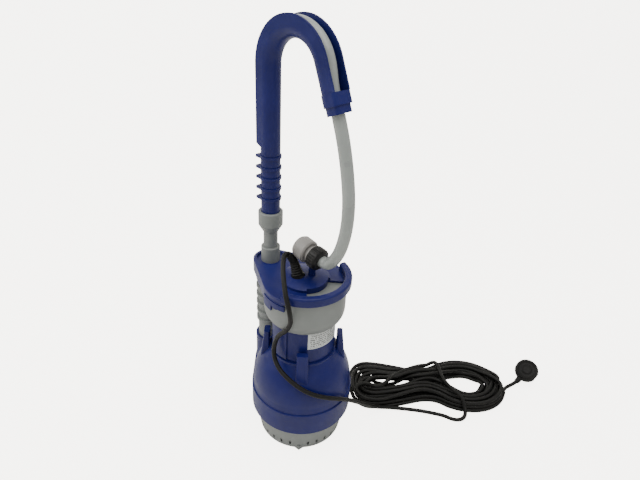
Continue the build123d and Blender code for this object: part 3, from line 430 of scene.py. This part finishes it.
def steel_finish():
    return finish("bright_steel", colour=(0.62, 0.62, 0.63), rough=0.28, spread=0.08, grain=(2200.0, 0.00003),
                  marks=0.5, mottle=0.06, metal=1.0)


def clothe(node, material):
    """Gives a CAD node its finish."""
    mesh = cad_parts[node].data
    mesh.materials.clear()
    mesh.materials.append(material)


# ---------------------------------------------------------------- mesh and curve building
def place_piece(name, data, body, replaced=()):
    piece = bpy.data.objects.new(name, data)
    bpy.context.scene.collection.objects.link(piece)
    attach(piece, body)
    if replaced:
        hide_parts(*replaced)
    return piece


def cord_curve(name, points, diameter, material):
    """A round cord on one smooth spline whose control points are the route's."""
    curve = bpy.data.curves.new(name, "CURVE")
    curve.dimensions = "3D"
    spline = curve.splines.new("NURBS")
    spline.points.add(len(points) - 1)
    for point, place in zip(spline.points, points):
        point.co = (*place, 1.0)
    spline.order_u = 3
    spline.use_endpoint_u = True
    curve.resolution_u = 6
    curve.bevel_depth = diameter / 2
    curve.bevel_resolution = 3
    curve.use_fill_caps = True
    curve.materials.append(material)
    return curve


def shell_mesh(name, rings, material, smooth=True):
    """A closed skin through rings of points, with a flat cap at each end."""
    count = len(rings[0])
    verts = [tuple(p) for ring in rings for p in ring]
    faces = []
    for k in range(len(rings) - 1):
        for j in range(count):
            n = (j + 1) % count
            faces.append((k * count + j, k * count + n, (k + 1) * count + n, (k + 1) * count + j))
    faces.append(tuple(reversed(range(count))))
    faces.append(tuple((len(rings) - 1) * count + j for j in range(count)))
    mesh = bpy.data.meshes.new(name)
    mesh.from_pydata(verts, [], faces)
    mesh.polygons.foreach_set("use_smooth", [smooth and len(p.vertices) == 4 for p in mesh.polygons])
    mesh.materials.append(material)
    mesh.update()
    return mesh


def rings_along(path, radii, sides):
    """Rings square to a path of points, each of its own radius."""
    rings = []
    side = None
    for k, point in enumerate(path):
        way = (path[min(k + 1, len(path) - 1)] - path[max(k - 1, 0)]).normalized()
        side = way.orthogonal() if side is None else (side - way * side.dot(way))
        side.normalize()
        other = way.cross(side)
        turns = [2 * math.pi * j / sides for j in range(sides)]
        rings.append([point + radii[k] * (side * math.cos(t) + other * math.sin(t)) for t in turns])
    return rings


def turned_rings(middle, way, profile, sides):
    """Rings square to one axis, from a profile of heights along it and radii, in millimetres."""
    side = way.orthogonal().normalized()
    other = way.cross(side)
    turns = [2 * math.pi * j / sides for j in range(sides)]
    return [[middle + MM * (high * way + radius * (side * math.cos(t) + other * math.sin(t))) for t in turns]
            for high, radius in profile]


def node_tree(name, inputs):
    """An empty geometry tree with named inputs."""
    tree = bpy.data.node_groups.new(name, "GeometryNodeTree")
    tree.interface.new_socket("Geometry", in_out="INPUT", socket_type="NodeSocketGeometry")
    for label, kind in inputs:
        tree.interface.new_socket(label, in_out="INPUT", socket_type=kind)
    tree.interface.new_socket("Geometry", in_out="OUTPUT", socket_type="NodeSocketGeometry")
    return tree, tree.nodes.new("NodeGroupInput").outputs, tree.nodes.new("NodeGroupOutput").inputs


def grown(name, points, tree, values):
    """Runs a geometry tree on points and returns its result as a plain mesh."""
    mesh = bpy.data.meshes.new(name + "_points")
    mesh.from_pydata([tuple(p) for p in points], [], [])
    carrier = bpy.data.objects.new(name + "_carrier", mesh)
    bpy.context.scene.collection.objects.link(carrier)
    modifier = carrier.modifiers.new("grow", "NODES")
    modifier.node_group = tree
    keys = {i.name: i.identifier for i in tree.interface.items_tree if i.in_out == "INPUT"}
    for label, value in values.items():
        modifier[keys[label]] = value
    depsgraph = bpy.context.evaluated_depsgraph_get()
    result = bpy.data.meshes.new_from_object(carrier.evaluated_get(depsgraph))
    result.name = name
    carrier.modifiers.remove(modifier)
    bpy.data.objects.remove(carrier)
    return result


def ridge_tree():
    """A ridge on each point, its long side along the given way and its face away from the middle."""
    tree, given, out = node_tree("rim_ridges", [
        ("Middle", "NodeSocketVector"), ("Way", "NodeSocketVector"), ("Ridge Size", "NodeSocketVector"),
        ("Material", "NodeSocketMaterial")])
    bar = add(tree, "GeometryNodeMeshCylinder", {"Vertices": 8, "Radius": 0.5, "Depth": 1.0})
    bar = add(tree, "GeometryNodeTransform", {"Geometry": bar.outputs[0], "Scale": given["Ridge Size"]})
    place = add(tree, "GeometryNodeInputPosition")
    away = add(tree, "ShaderNodeVectorMath", {0: place.outputs[0], 1: given["Middle"]}, operation="SUBTRACT")
    stand = add(tree, "FunctionNodeAlignRotationToVector", {"Vector": given["Way"]}, axis="Z")
    face = add(tree, "FunctionNodeAlignRotationToVector",
               {"Rotation": stand.outputs[0], "Vector": away.outputs[0]},
               axis="X", pivot_axis="Z")
    spread = add(tree, "GeometryNodeInstanceOnPoints", {
        "Points": given["Geometry"], "Instance": bar.outputs[0], "Rotation": face.outputs[0]})
    real = add(tree, "GeometryNodeRealizeInstances", {0: spread.outputs[0]})
    coat = add(tree, "GeometryNodeSetMaterial", {"Geometry": real.outputs[0], "Material": given["Material"]})
    tree.links.new(coat.outputs[0], out[0])
    return tree


# ---------------------------------------------------------------- operators
class PUMP_OT_studio(bpy.types.Operator):
    """Camera, lights, floor and backdrop"""
    bl_idname = "pump.studio"
    bl_label = "Studio"

    def execute(self, context):
        studio = context.scene.pump_studio
        forward = Vector((-0.5944, 0.6299, -0.5)).normalized()
        right = forward.cross(Vector((0, 0, 1))).normalized()
        up = right.cross(forward)
        c, s = math.cos(studio.roll), math.sin(studio.roll)
        right, up = right * c + up * s, up * c - right * s
        lens = bpy.data.cameras.new("camera")
        lens.lens = studio.lens
        lens.sensor_width = 36.0
        lens.clip_end = 50.0
        camera = bpy.data.objects.new("camera", lens)
        camera.matrix_world = Matrix((
            (right.x, up.x, -forward.x, 0.4285), (right.y, up.y, -forward.y, -0.4285),
            (right.z, up.z, -forward.z, 0.706), (0, 0, 0, 1)))
        context.scene.collection.objects.link(camera)
        context.scene.camera = camera

        away = Vector((forward.x, forward.y, 0)).normalized()
        across = Vector((away.y, -away.x, 0))
        profile = [(-6.0, 0.0), (0.55, 0.0)]
        bend, wall = 0.9, 1.45
        turns = np.linspace(0.0, math.pi / 2, 25)
        profile += [(wall - bend + bend * math.sin(t), bend - bend * math.cos(t)) for t in turns]
        profile += [(wall, 4.0)]
        verts, faces = [], []
        for reach, height in profile:
            for side in (-7.0, 7.0):
                verts.append(tuple(away * reach + across * side + Vector((0, 0, height))))
        for k in range(len(profile) - 1):
            faces.append((2 * k, 2 * k + 1, 2 * k + 3, 2 * k + 2))
        mesh = bpy.data.meshes.new("backdrop")
        mesh.from_pydata(verts, [], faces)
        mesh.polygons.foreach_set("use_smooth", [True] * len(faces))
        sheet = bpy.data.objects.new("backdrop", mesh)
        context.scene.collection.objects.link(sheet)
        paper = finish("backdrop_paper", colour=studio.ground, rough=0.75, spread=0.05, grain=(60.0, 0.0004),
                       mottle=0.012)
        surface = paper.node_tree.nodes["Principled BSDF"]
        seen = add(paper.node_tree, "ShaderNodeLightPath").outputs["Is Camera Ray"]
        surface.inputs["Emission Color"].default_value = (1.0, 0.975, 0.92, 1.0)
        paper.node_tree.links.new(scale_value(paper.node_tree, seen, 0.0, studio.glow),
                                  surface.inputs["Emission Strength"])
        mesh.materials.append(paper)

        world = bpy.data.worlds.new("fill")
        world.use_nodes = True
        fill = world.node_tree.nodes["Background"]
        fill.inputs[0].default_value = (1.0, 0.99, 0.96, 1.0)
        fill.inputs[1].default_value = studio.sky
        context.scene.world = world
        for name, place, aim, size, power, tint in (
                ("ceiling", (0.5, -0.1, 2.3), (0.05, 0.1, 0.2), 1.9, studio.ceiling, (1.0, 0.985, 0.95)),
                ("window", (-1.3, -1.1, 1.5), (0.0, 0.0, 0.3), 1.3, studio.window, (1.0, 0.98, 0.95))):
            light = bpy.data.lights.new(name, "AREA")
            light.shape = "SQUARE"
            light.size = size
            light.energy = power
            light.color = tint
            lamp = bpy.data.objects.new(name, light)
            lamp.location = place
            lamp.rotation_mode = "QUATERNION"
            lamp.rotation_quaternion = (Vector(aim) - Vector(place)).to_track_quat("-Z", "Y")
            context.scene.collection.objects.link(lamp)
        return {"FINISHED"}


class PUMP_OT_mains_lead(bpy.types.Operator):
    """The mains lead from the boot, down round the pump, through its hank and out to the plug"""
    bl_idname = "pump.mains_lead"
    bl_label = "Mains lead"

    def execute(self, context):
        thick = context.scene.pump_sizes.lead_diameter
        laid = lay_turns(hank_plan(), thick / MM)
        route = metres(LEAD_FROM_PUMP + laid[::-1] + LEAD_TO_PLUG)
        curve = cord_curve("mains_lead", route, thick, lead_finish())
        lead = place_piece("mains_lead", curve, "pump",
                           ("power_lead", "lead_hank", "lead_tail"))
        return {"FINISHED"}


class PUMP_OT_hose(bpy.types.Operator):
    """The hose: its free loop down to the coupler and its run in the guide"""
    bl_idname = "pump.hose"
    bl_label = "Hose"

    def execute(self, context):
        thick = context.scene.pump_sizes.hose_diameter
        route = metres(HOSE_ROUTE)
        curve = cord_curve("hose_loop", route, thick, hose_finish())
        curve.bevel_resolution = 7
        curve.resolution_u = 10
        loop = place_piece("hose_loop", curve, "hook", ("hose_free",))
        cx, cz = ARCH_CENTRE
        x, low = HOSE_SEAT
        reach = ARCH_RADIUS + HOSE_RIDE
        path = []
        for k in range(40):
            z = low + (cz - low) * k / 40
            share = min(1.0, max(0.0, (z - CHANNEL_BLEND[0]) / (CHANNEL_BLEND[1] - CHANNEL_BLEND[0])))
            path.append(Vector((x - HOSE_RIDE * share * share * (3 - 2 * share), 0, z)))
        for k in range(65):
            t = math.pi - math.radians(ARCH_TURN) * k / 64
            path.append(Vector((cx + reach * math.cos(t), 0, cz + reach * math.sin(t))))
        end = Vector(HOSE_ROUTE[0])
        out = path[-1] - Vector((cx, 0, cz))
        start = path[-1] - out.normalized() * HOSE_RIDE
        for k in range(1, 13):
            share = min(1.0, k / 7)
            ride = HOSE_RIDE * (1 - share * share * (3 - 2 * share))
            path.append(start.lerp(end, k / 12) + out.normalized() * ride)
        path = [p * MM for p in path]
        rings = rings_along(path, [thick / 2] * len(path), 32)
        place_piece("guide_hose", shell_mesh("guide_hose", rings, hose_finish()), "hook",
                    ("hose_in_guide",))
        return {"FINISHED"}


class PUMP_OT_cable_boot(bpy.types.Operator):
    """The ribbed rubber boot that the lead comes out of, and its nut"""
    bl_idname = "pump.cable_boot"
    bl_label = "Cable boot"

    def execute(self, context):
        count = context.scene.pump_sizes.boot_ribs
        foot, top = Vector(BOOT_FOOT) * MM, Vector(BOOT_TOP) * MM
        way = (top - foot).normalized()
        start, length = BOOT_START * MM, (top - foot).length
        path, radii = [], []
        steps = 12 * count
        for k in range(steps + 1):
            share = k / steps
            along = start + (length - start) * share
            skin = (BOOT_WIDE - BOOT_TAPER * share ** 0.8) * MM
            ridge = 0.5 - 0.5 * math.cos(2 * math.pi * count * share)
            path.append(foot + way * along)
            groove = BOOT_GROOVE * MM * (1 - ridge) ** 2 * (1 - 0.45 * share)
            radii.append(skin - groove * (0 < k < steps))
        bend, tip = (Vector(p) * MM for p in BOOT_BEND)
        for k in range(1, 9):
            share = k / 8
            path.append((1 - share) ** 2 * top + 2 * share * (1 - share) * bend + share ** 2 * tip)
            radii.append((BOOT_NECK + (BOOT_TIP - BOOT_NECK) * share) * MM)
        rings = rings_along(path, radii, 32)
        place_piece("cable_boot", shell_mesh("cable_boot", rings, plug_finish()), "pump",
                    ("gland_boot",))
        clothe("gland_nut", nut_finish())
        return {"FINISHED"}


class PUMP_OT_plug(bpy.types.Operator):
    """The mains plug, its pins and the ridges round its rim"""
    bl_idname = "pump.plug"
    bl_label = "Plug"

    def execute(self, context):
        sizes = context.scene.pump_sizes
        clothe("plug_body", plug_finish())
        clothe("plug_pins", steel_finish())
        clothe("earth_contacts", steel_finish())
        middle = Vector(PLUG_MIDDLE) * MM
        heading, dip, outlet_turn = (math.radians(turn) for turn in (PLUG_HEADING, PLUG_DIP, PLUG_OUTLET))
        pins = Vector((math.cos(heading) * math.cos(dip), math.sin(heading) * math.cos(dip), -math.sin(dip)))
        level = Vector((-math.sin(heading), math.cos(heading), 0))
        steep = Vector((-math.cos(heading) * math.sin(dip), -math.sin(heading) * math.sin(dip),
                        -math.cos(dip)))
        outlet = level * math.cos(outlet_turn) + steep * math.sin(outlet_turn)
        side = pins.cross(outlet)
        rim = PLUG_RIM * MM
        points = []
        for k in range(sizes.plug_grips):
            turn = 2 * math.pi * (k + 0.5) / sizes.plug_grips
            if abs(math.cos(turn)) < 0.35 or math.cos(turn) > 0.88:
                continue
            points.append(middle + pins * 0.0005 + rim * (outlet * math.cos(turn) + side * math.sin(turn)))
        mesh = grown("plug_grips", points, ridge_tree(), {
            "Middle": tuple(middle), "Way": tuple(pins), "Material": plug_finish(),
            "Ridge Size": (2 * sizes.grip_depth, 0.0013, 0.0095)})
        place_piece("plug_grips", mesh, "pump")
        rings = turned_rings(middle - pins * PLUG_BACK_DEPTH * MM, -pins, PLUG_BACK, 64)
        place_piece("plug_back", shell_mesh("plug_back", rings, plug_finish()), "pump")
        return {"FINISHED"}


class PUMP_OT_housing(bpy.types.Operator):
    """The blue mouldings: housing, motor shell, cover and hose guide"""
    bl_idname = "pump.housing"
    bl_label = "Blue mouldings"

    def execute(self, context):
        for node in ("volute_housing", "motor_housing", "top_cover", "hose_guide", "guide_end_collar"):
            clothe(node, housing_finish())
        return {"FINISHED"}


class PUMP_OT_fittings(bpy.types.Operator):
    """The grey mouldings: foot, collar, riser sleeve, union and outlet pipe"""
    bl_idname = "pump.fittings"
    bl_label = "Grey mouldings"

    def execute(self, context):
        for node in ("strainer_foot", "collar", "riser_sleeve", "outlet_union", "outlet_pipe"):
            clothe(node, fittings_finish())
        return {"FINISHED"}


class PUMP_OT_coupler(bpy.types.Operator):
    """The hose coupler: black nut, grey body and release sleeve, sealing ring"""
    bl_idname = "pump.coupler"
    bl_label = "Hose coupler"

    def execute(self, context):
        clothe("coupler_nut", nut_finish())
        clothe("coupler_body", coupler_finish())
        clothe("coupler_sleeve", coupler_finish())
        clothe("coupler_ring", plug_finish())
        sizes = context.scene.pump_sizes
        tilt = math.radians(COUPLER_TILT)
        way = Vector((-math.cos(tilt), 0, math.sin(tilt)))
        down = Vector((-math.sin(tilt), 0, -math.cos(tilt)))
        side = way.cross(down)
        end = Vector((COUPLER_END[0], 0, COUPLER_END[1])) * MM
        # The nut's ridges are real ribs. The black bars in the sleeve's slots are painted shade, dark pads
        # standing in for the shade inside the grooves.
        for name, body, slot, count, turn, (along, reach), bar in (
                ("nut_ridges", "hook", "black_plastic", sizes.nut_ridges, 0.5, NUT_RIDGE_PLACE, NUT_RIDGE),
                ("sleeve_shade_bars", "release_sleeve", "coupler_grey", sizes.sleeve_shade_bars, 0.0,
                 SLEEVE_SHADE_BAR_PLACE, SLEEVE_SHADE_BAR)):
            middle = end + way * along * MM
            angles = [2 * math.pi * (k + turn) / count for k in range(count)]
            points = [middle + reach * MM * (down * math.cos(t) + side * math.sin(t)) for t in angles]
            mesh = grown(name, points, ridge_tree(), {
                "Middle": tuple(middle), "Way": tuple(way), "Material": nut_finish(),
                "Ridge Size": tuple(v * MM for v in bar)})
            place_piece(name, mesh, body)
        return {"FINISHED"}


class PUMP_OT_label(bpy.types.Operator):
    """The rating label: silver film with rows of blank rules"""
    bl_idname = "pump.label"
    bl_label = "Rating label"

    def execute(self, context):
        low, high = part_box("rating_label")
        made = finish("label_film", colour=context.scene.pump_colours.label, rough=0.34, spread=0.05,
                      grain=(500.0, 0.00003), dust=0.1, marks=0.3, mottle=0.04)
        tree = made.node_tree
        surface = tree.nodes["Principled BSDF"]
        film = surface.inputs["Base Color"].links[0].from_socket
        place = add(tree, "ShaderNodeTexCoord").outputs["Object"]
        part = add(tree, "ShaderNodeSeparateXYZ", {0: place}).outputs
        turn = add(tree, "ShaderNodeMath", {0: part[1], 1: part[0]}, operation="ARCTAN2").outputs[0]
        across = add(tree, "ShaderNodeMapRange",
                     {0: turn, 1: math.radians(-37), 2: math.radians(29), 3: 0.0, 4: 1.0}).outputs[0]
        rise = add(tree, "ShaderNodeMapRange", {0: part[2], 1: low.z, 2: high.z, 3: 0.0, 4: 1.0}).outputs[0]
        row = add(tree, "ShaderNodeMath", {0: rise, 1: 8.0}, operation="MULTIPLY").outputs[0]
        whole = add(tree, "ShaderNodeMath", {0: row}, operation="FLOOR").outputs[0]
        part_row = add(tree, "ShaderNodeMath", {0: row}, operation="FRACT").outputs[0]
        rule = add(tree, "ShaderNodeMath", {0: part_row, 1: 0.5, 2: 0.27}, operation="COMPARE").outputs[0]
        seat = add(tree, "ShaderNodeCombineXYZ", {"X": across, "Y": whole}).outputs[0]
        broken = add(tree, "ShaderNodeTexNoise", {"Vector": seat, "Scale": 21.0, "Detail": 1.0}).outputs[0]
        broken = add(tree, "ShaderNodeMath", {0: broken, 1: 0.47}, operation="GREATER_THAN").outputs[0]
        ink = add(tree, "ShaderNodeMath", {0: rule, 1: broken}, operation="MULTIPLY").outputs[0]
        for edge, margin in ((across, 0.44), (rise, 0.43)):
            inside = add(tree, "ShaderNodeMath", {0: edge, 1: 0.5, 2: margin}, operation="COMPARE").outputs[0]
            ink = add(tree, "ShaderNodeMath", {0: ink, 1: inside}, operation="MULTIPLY").outputs[0]
        printed = mix_colour(tree, scale_value(tree, ink, 0.0, 0.85), film, (0.04, 0.042, 0.045, 1.0))
        tree.links.new(printed, surface.inputs["Base Color"])
        clothe("rating_label", made)
        return {"FINISHED"}


class PUMP_OT_inside(bpy.types.Operator):
    """What is inside: motor, bearings, impeller, seals, valve and strainer screen"""
    bl_idname = "pump.inside"
    bl_label = "Inner pieces"

    def execute(self, context):
        black, steel, seal = nut_finish(), steel_finish(), plug_finish()
        alloy = finish("cast_alloy", colour=(0.66, 0.67, 0.68), rough=0.42, spread=0.1, grain=(700.0, 0.0001),
                       marks=0.4, mottle=0.08, metal=1.0)
        copper = finish("enamelled_copper", colour=(0.62, 0.27, 0.13), rough=0.3, spread=0.08,
                        grain=(900.0, 0.0002),
                        mottle=0.2, metal=0.9, coat=0.3)
        iron = finish("varnished_iron", colour=(0.09, 0.09, 0.10), rough=0.4, spread=0.08,
                      grain=(1600.0, 0.0001),
                      mottle=0.15, metal=0.6, coat=0.2)
        for material, nodes in (
                (black,
                 ("suction_plate", "diffuser", "impeller", "motor_lid", "valve_seat", "valve_poppet",
                  "valve_guide")),
                (steel,
                 ("filter_screen", "plate_screws", "motor_can", "shaft", "impeller_nut", "lower_bearing",
                         "upper_bearing", "valve_spring")),
                (alloy, ("bearing_bracket", "capacitor")),
                (seal, ("shaft_seal", "lid_ring")),
                (iron, ("stator_core", "rotor_core")),
                (copper, ("windings",)),
                (fittings_finish(), ("terminal_block",))):
            for node in nodes:
                clothe(node, material)
        return {"FINISHED"}


class PUMP_PT_panel(bpy.types.Panel):
    """Lists the pieces in the sidebar"""
    bl_label = "Barrel pump"
    bl_idname = "PUMP_PT_panel"
    bl_space_type = "VIEW_3D"
    bl_region_type = "UI"
    bl_category = "Barrel pump"

    def draw(self, context):
        for title, settings in (("Sizes", context.scene.pump_sizes), ("Colours", context.scene.pump_colours),
                                ("Studio", context.scene.pump_studio)):
            box = self.layout.box()
            box.label(text=title)
            for key in settings.__annotations__:
                box.prop(settings, key)
        for operator in OPERATORS:
            self.layout.operator(operator.bl_idname)


OPERATORS = (
    PUMP_OT_studio, PUMP_OT_mains_lead, PUMP_OT_hose, PUMP_OT_cable_boot, PUMP_OT_plug,
    PUMP_OT_housing, PUMP_OT_fittings, PUMP_OT_coupler, PUMP_OT_label, PUMP_OT_inside,
)
GROUPS = (("pump_sizes", PumpSizes), ("pump_colours", PumpColours), ("pump_studio", StudioSettings))


def register():
    for name, settings in GROUPS:
        bpy.utils.register_class(settings)
        setattr(bpy.types.Scene, name, PointerProperty(type=settings))
    for operator in OPERATORS:
        bpy.utils.register_class(operator)
    bpy.utils.register_class(PUMP_PT_panel)


def unregister():
    bpy.utils.unregister_class(PUMP_PT_panel)
    for operator in reversed(OPERATORS):
        bpy.utils.unregister_class(operator)
    for name, settings in reversed(GROUPS):
        delattr(bpy.types.Scene, name)
        bpy.utils.unregister_class(settings)


def main():
    register()
    for operator in OPERATORS:
        space, call = operator.bl_idname.split(".")
        getattr(getattr(bpy.ops, space), call)()


if __name__ == "__main__":
    main()
